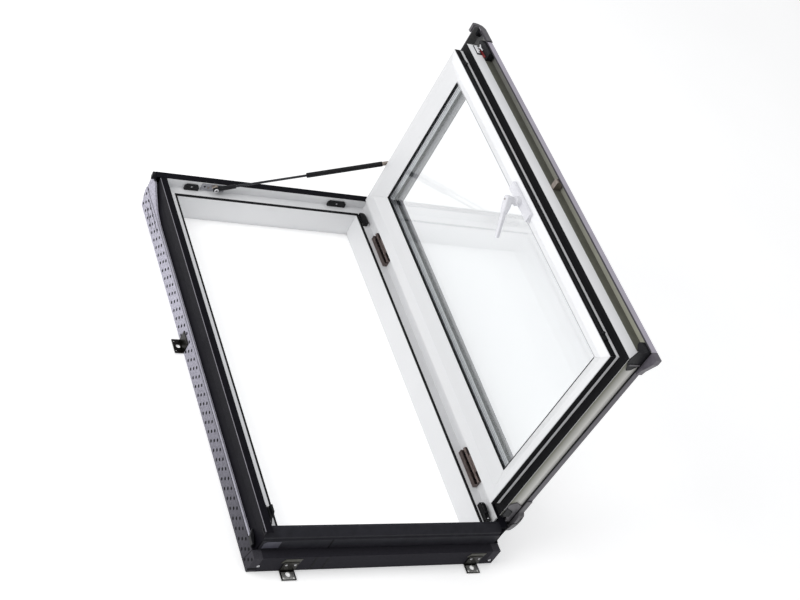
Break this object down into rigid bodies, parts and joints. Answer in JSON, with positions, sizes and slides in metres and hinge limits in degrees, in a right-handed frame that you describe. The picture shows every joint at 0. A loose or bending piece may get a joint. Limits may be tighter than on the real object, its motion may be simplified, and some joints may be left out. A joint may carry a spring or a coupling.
{
  "type": "roof window with side-hung sash",
  "caption": "Side-hung roof access window: white frame with dark cladding and foam surround, double-glazed sash standing open on a gas strut, and a lever handle.",
  "frame": {"origin": "Middle of the sill profile’s flat room-side face, half way between the jambs. The whole frame lies on Z = 0 with that face down.", "axes": "+X across the opening toward the hinges, +Y up the roof slope from the sill to the head, +Z outward through the roof, away from the room."},
  "size_m": [0.7723, 1.2683, 0.7965],
  "materials": {
    "pvc": "smooth satin white",
    "cladding": "fine powder coat, near black",
    "sash_aluminium": "satin lilac grey",
    "carrier": "dark olive grey",
    "foam": "expanded foam, dark lilac grey",
    "rubber": "matt black",
    "black_plastic": "moulded black",
    "black_metal": "satin black",
    "zinc": "warm zinc plate",
    "steel": "bright",
    "glass": "clear",
    "handle_white": "gloss white enamel"
  },
  "bodies": {
    "frame": {"cladding_head": "cladding", "cladding_left": "cladding", "cladding_right": "cladding", "cladding_sill": "cladding", "fixing_bracket_left": "zinc", "fixing_bracket_sill_left": "zinc", "fixing_bracket_sill_right": "zinc", "frame_head_profile": "pvc", "frame_left_jamb": "pvc", "frame_right_jamb": "pvc", "frame_sill_profile": "pvc", "hinge_frame_leaf_lower": "zinc", "hinge_frame_leaf_upper": "zinc", "insulation_head": "foam", "insulation_left": "foam", "insulation_right": "foam", "insulation_sill": "foam", "lock_keep_left": "black_metal", "lock_keep_right": "black_metal", "reveal_gasket": "rubber", "sill_end_left": "black_plastic", "sill_end_right": "black_plastic", "sill_nose_profile": "pvc", "striker_head_left": "black_metal", "striker_head_right": "black_metal", "striker_jamb_top": "black_metal", "strut_bracket": "zinc"},
    "sash": {"bead_gasket": "rubber", "channel_clip": "zinc", "corner_cap_bottom_free": "black_plastic", "corner_cap_bottom_hinge": "black_plastic", "corner_cap_top_free": "black_plastic", "corner_lock": "black_plastic", "glass_inner": "glass", "glass_outer": "glass", "glass_spacer": "steel", "glazing_gasket": "rubber", "handle_base": "handle_white", "hinge_sash_leaf_lower": "zinc", "hinge_sash_leaf_upper": "zinc", "sash_carrier": "carrier", "sash_cladding_bottom": "sash_aluminium", "sash_cladding_free": "sash_aluminium", "sash_cladding_hinge": "sash_aluminium", "sash_cladding_top": "sash_aluminium", "sash_outer_seal": "rubber", "sash_rail_bottom": "pvc", "sash_rail_top": "pvc", "sash_seal_bottom": "rubber", "sash_seal_free": "rubber", "sash_seal_top": "rubber", "sash_stile_free": "pvc", "sash_stile_hinge": "pvc", "strut_sash_plate": "zinc"},
    "lever": {"handle_lever": "handle_white"},
    "drive": {"drive_bar": "black_metal"},
    "strut_rod_end": {"strut_rod": "steel", "strut_socket": "black_plastic"},
    "strut_cylinder": {"strut_end_fitting": "zinc", "strut_tube": "black_metal"}
  },
  "joints": [
    {"name": "sash_hinge", "type": "hinge", "parent": "frame", "child": "sash", "pos_m": [0.3195, 0.5525, 0.1195], "axis": [0, -1, 0], "range_deg": [0, 90]},
    {"name": "handle_turn", "type": "hinge", "parent": "sash", "child": "lever", "pos_m": [0.285, 0.547, 0.715], "axis": [-1, 0, 0], "range_deg": [-27, 63]},
    {"name": "drive_slide", "type": "slide", "parent": "sash", "child": "drive", "axis": [0, 1, 0], "range_m": [-0.0056, 0.0128]},
    {"name": "strut_swing", "type": "hinge", "parent": "frame", "child": "strut_rod_end", "pos_m": [-0.174, 1.124, 0.116], "axis": [0, 1, 0], "range_deg": [0, 20.85]},
    {"name": "strut_stroke", "type": "slide", "parent": "strut_rod_end", "child": "strut_cylinder", "axis": [-0.9359, 0, -0.3522], "range_m": [0, 0.20967]}
  ],
  "couplings": [
    {"joint": "drive_slide", "follows": "handle_turn", "m_per_rad": 0.011459},
    {"joint": "strut_swing", "follows": "sash_hinge", "ratio": 0.23115},
    {"joint": "strut_stroke", "follows": "sash_hinge", "m_per_rad": 0.13335}
  ]
}
